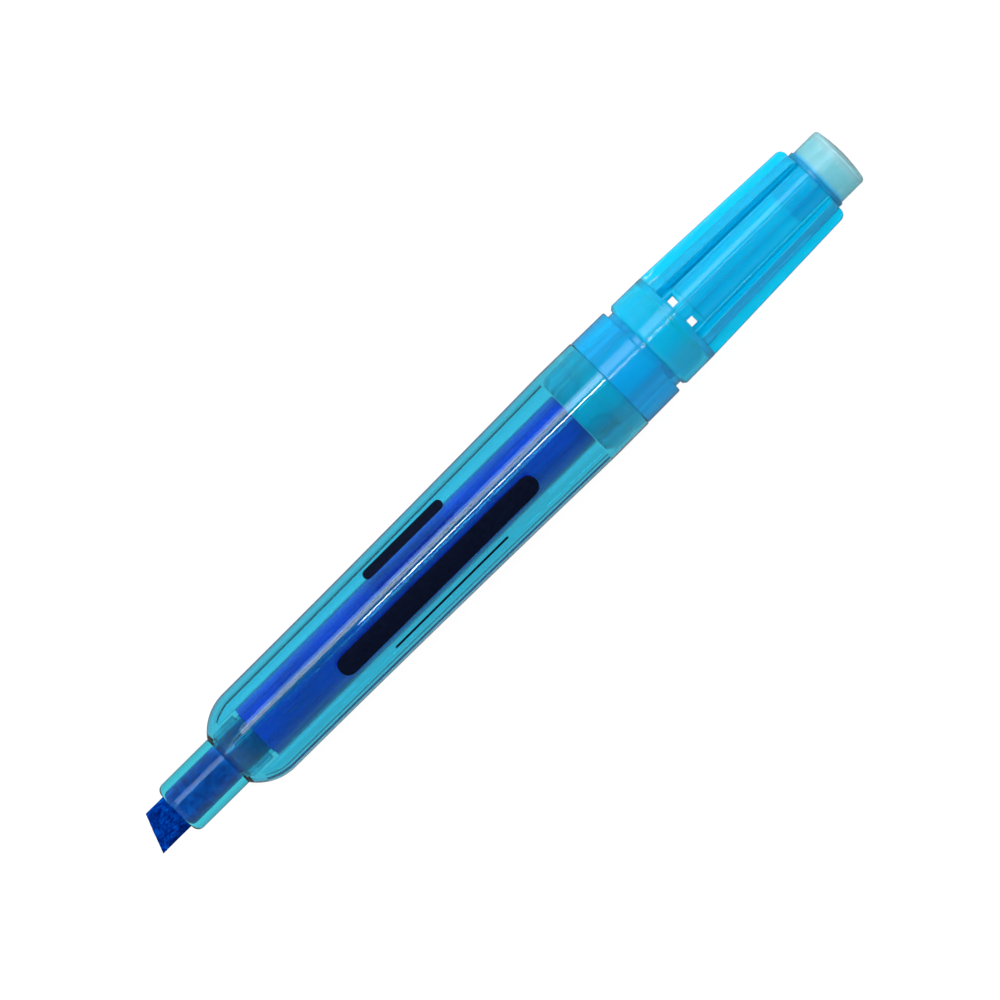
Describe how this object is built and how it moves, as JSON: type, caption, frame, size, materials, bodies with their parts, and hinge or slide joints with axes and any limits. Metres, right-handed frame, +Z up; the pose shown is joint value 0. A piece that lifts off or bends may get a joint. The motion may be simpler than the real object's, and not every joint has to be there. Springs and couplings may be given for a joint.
{
  "type": "highlighter pen",
  "caption": "Translucent blue tank highlighter with a chisel felt nib, a fibre reservoir seen through the ribbed barrel, and a finned vented cap posted on its tail.",
  "frame": {"origin": "on the surface that the pen lies on, under the middle of its overall box", "axes": "+X along the pen's axis from the nib to the cap's end knob; +Z up; the nib's point is on the -Y side"},
  "size_m": [0.1302, 0.015, 0.015],
  "materials": {
    "nib_felt": "ink-soaked polyester felt",
    "holder_plastic": "clear tinted polypropylene, smooth",
    "barrel_plastic": "clear tinted polypropylene, polished",
    "reservoir_fibre": "ink-soaked fibre bundle",
    "reservoir_film": "thin clear film",
    "plug_plastic": "clear tinted polypropylene, satin",
    "cap_plastic": "clear tinted polypropylene, smooth",
    "knob_plastic": "clear tinted polypropylene, satin"
  },
  "bodies": {
    "pen": {"nib": "nib_felt", "nib_holder": "holder_plastic", "barrel": "barrel_plastic", "reservoir_core": "reservoir_fibre", "reservoir_film": "reservoir_film", "rear_plug": "plug_plastic"},
    "cap": {"cap_shell": "cap_plastic", "cap_end_plug": "knob_plastic"}
  },
  "joints": [
    {"name": "cap_off", "type": "slide", "parent": "pen", "child": "cap", "axis": [1, 0, 0], "range_m": [0, 0.02]}
  ]
}
